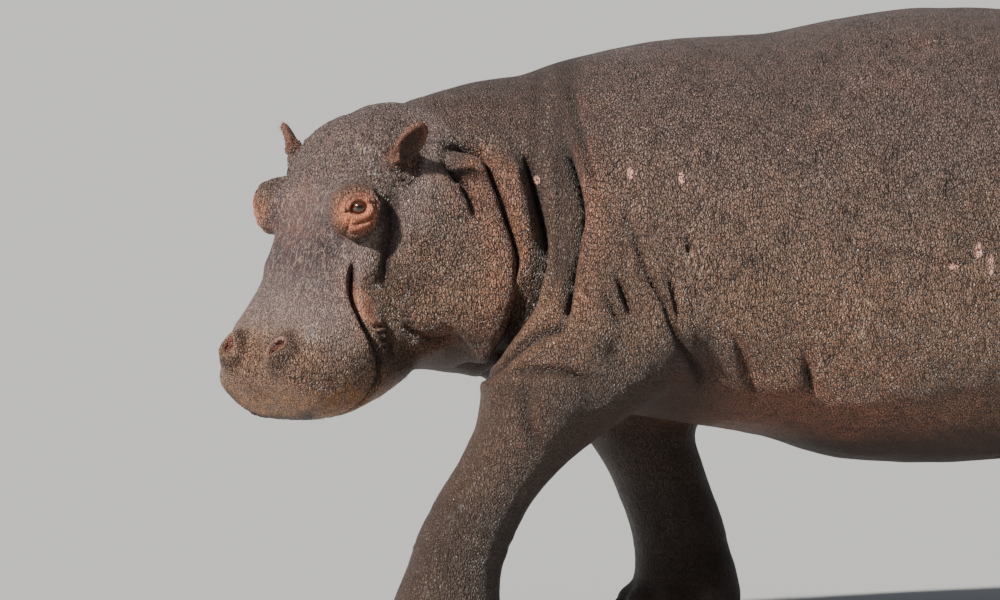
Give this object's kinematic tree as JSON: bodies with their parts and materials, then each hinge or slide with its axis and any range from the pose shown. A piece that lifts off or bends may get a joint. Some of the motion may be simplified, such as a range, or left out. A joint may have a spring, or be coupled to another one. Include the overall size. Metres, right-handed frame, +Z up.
{
  "type": "hippopotamus",
  "caption": "Life-size still model of an adult hippopotamus in mid-stride, with its massive head lowered and turned to its left, standing on four short stout legs.",
  "frame": {"origin": "middle of the whole figure's footprint, on the floor", "axes": "+Z up, -X towards the head, +X towards the tail, -Y towards the animal's own left side"},
  "size_m": [2.995, 1.052, 1.4919],
  "materials": {
    "hide": "thick, nearly hairless hide with fine cracks and folds, damp, with a soft sheen",
    "ear_skin": "thin pinkish-brown skin with a fringe of short hairs",
    "eye": "wet and glossy, dark brown iris",
    "nail_horn": "dull dark horn"
  },
  "bodies": {
    "root": {"head": "hide", "lower_jaw": "hide", "neck": "hide", "trunk": "hide", "tail": "hide", "leg_front_left": "hide", "leg_front_right": "hide", "leg_hind_left": "hide", "leg_hind_right": "hide", "foot_front_left": "hide", "foot_front_right": "hide", "foot_hind_left": "hide", "foot_hind_right": "hide", "ear_left": "ear_skin", "ear_right": "ear_skin", "eye_left": "eye", "eye_right": "eye", "nail_front_left_1": "nail_horn", "nail_front_left_2": "nail_horn", "nail_front_left_3": "nail_horn", "nail_front_left_4": "nail_horn", "nail_front_right_1": "nail_horn", "nail_front_right_2": "nail_horn", "nail_front_right_3": "nail_horn", "nail_front_right_4": "nail_horn", "nail_hind_left_1": "nail_horn", "nail_hind_left_2": "nail_horn", "nail_hind_left_3": "nail_horn", "nail_hind_left_4": "nail_horn", "nail_hind_right_1": "nail_horn", "nail_hind_right_2": "nail_horn", "nail_hind_right_3": "nail_horn", "nail_hind_right_4": "nail_horn"}
  },
  "joints": []
}
